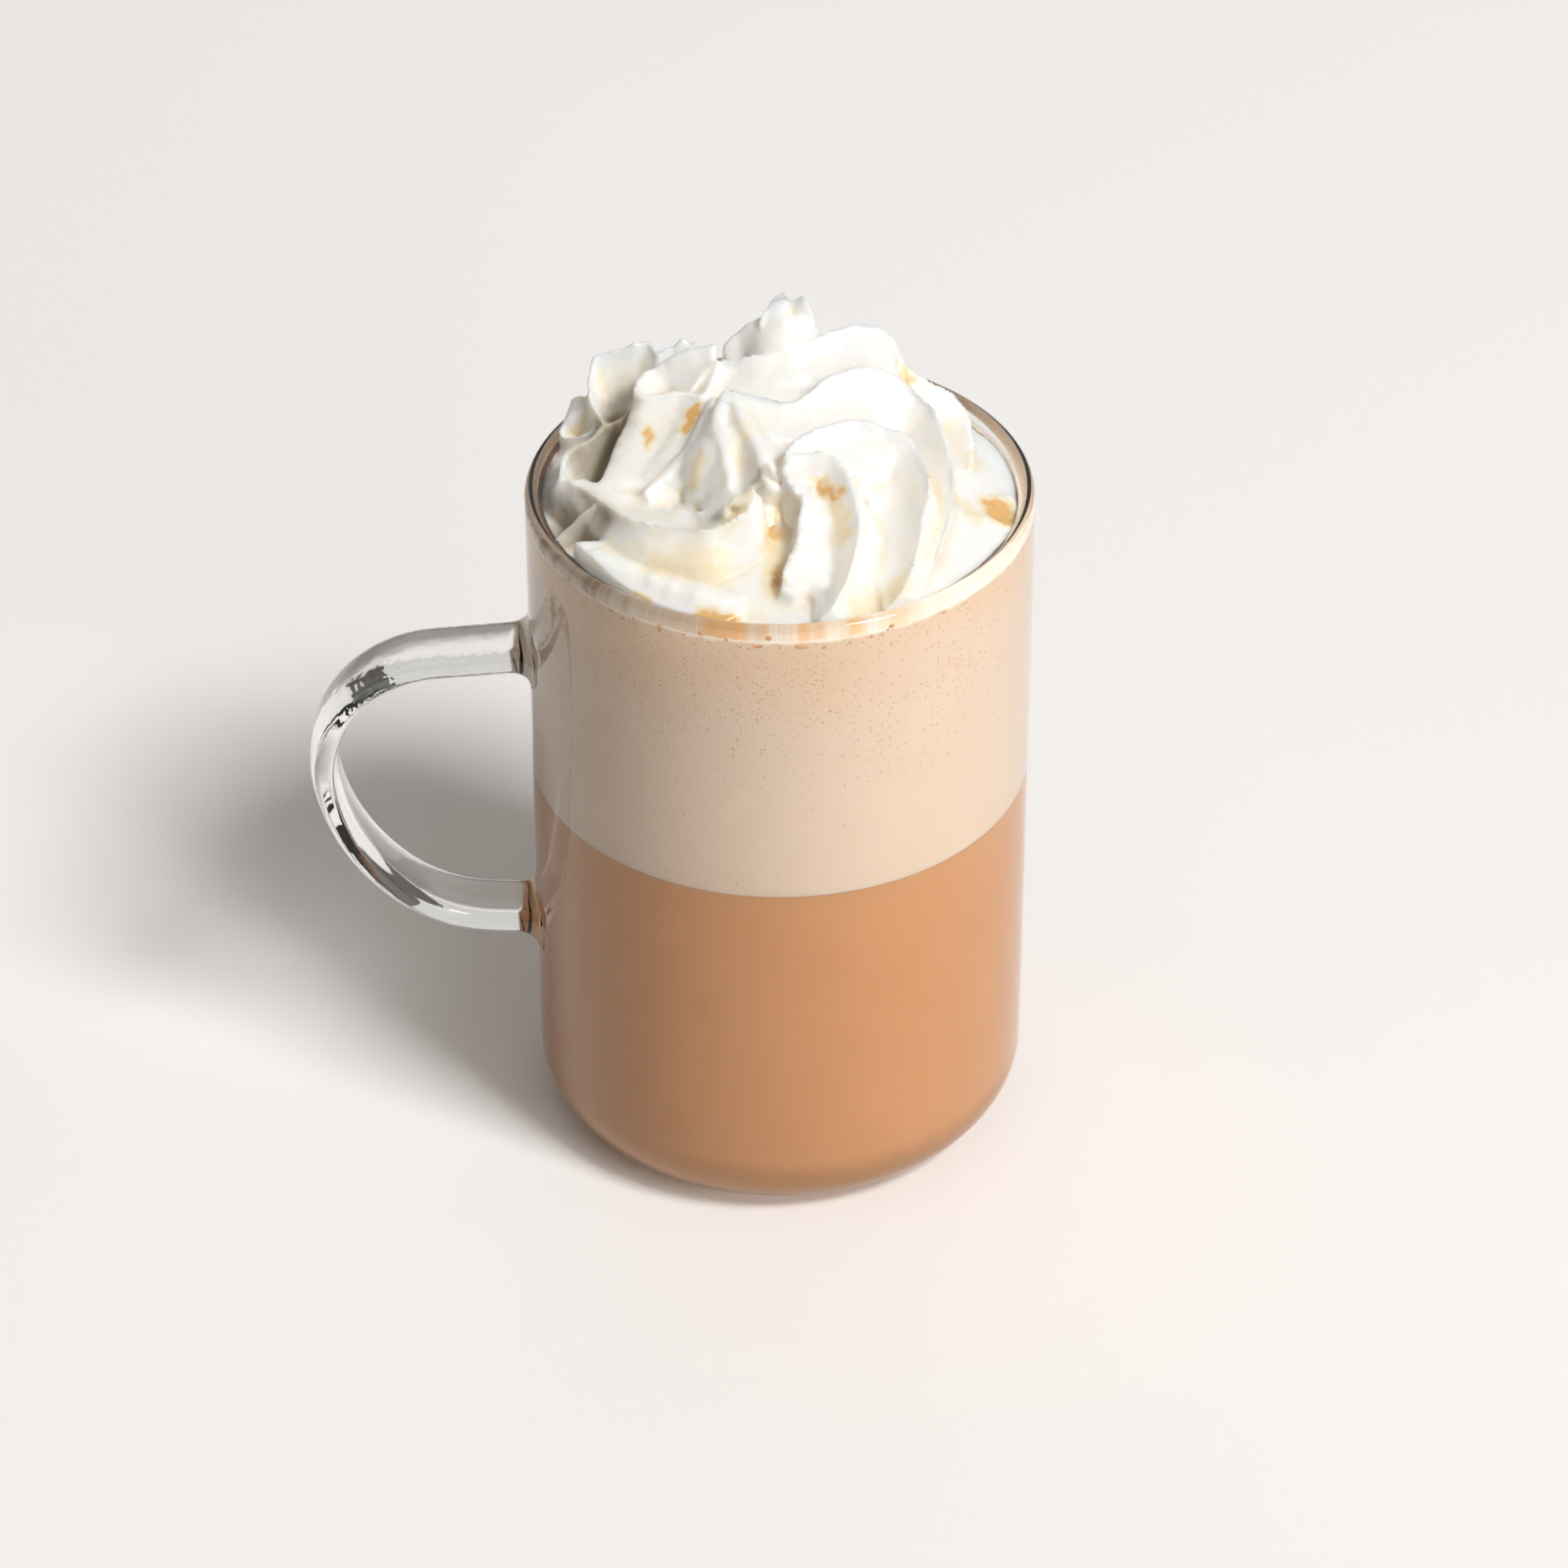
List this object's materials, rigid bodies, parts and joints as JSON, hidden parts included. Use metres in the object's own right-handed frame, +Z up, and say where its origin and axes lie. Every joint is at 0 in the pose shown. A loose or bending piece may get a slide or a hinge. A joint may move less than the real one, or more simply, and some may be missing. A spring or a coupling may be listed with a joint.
{
  "type": "irish latte",
  "caption": "Tall clear glass mug with a looped side handle, filled with latte under milk foam and topped by a piped swirl of whipped cream.",
  "frame": {"origin": "centre of the mug's flat foot, on the table", "axes": "+Z up along the mug's axis, -X towards the handle"},
  "size_m": [0.1158, 0.08, 0.1387],
  "materials": {
    "glass": "clear, smooth, fire-polished",
    "latte": "opaque milky brown drink",
    "milk_foam": "opaque light tan foam with fine bubbles",
    "cream": "soft white, slightly glossy on the crests"
  },
  "bodies": {
    "root": {"mug": "glass", "latte": "latte", "milk_foam": "milk_foam", "whipped_cream": "cream"}
  },
  "joints": []
}
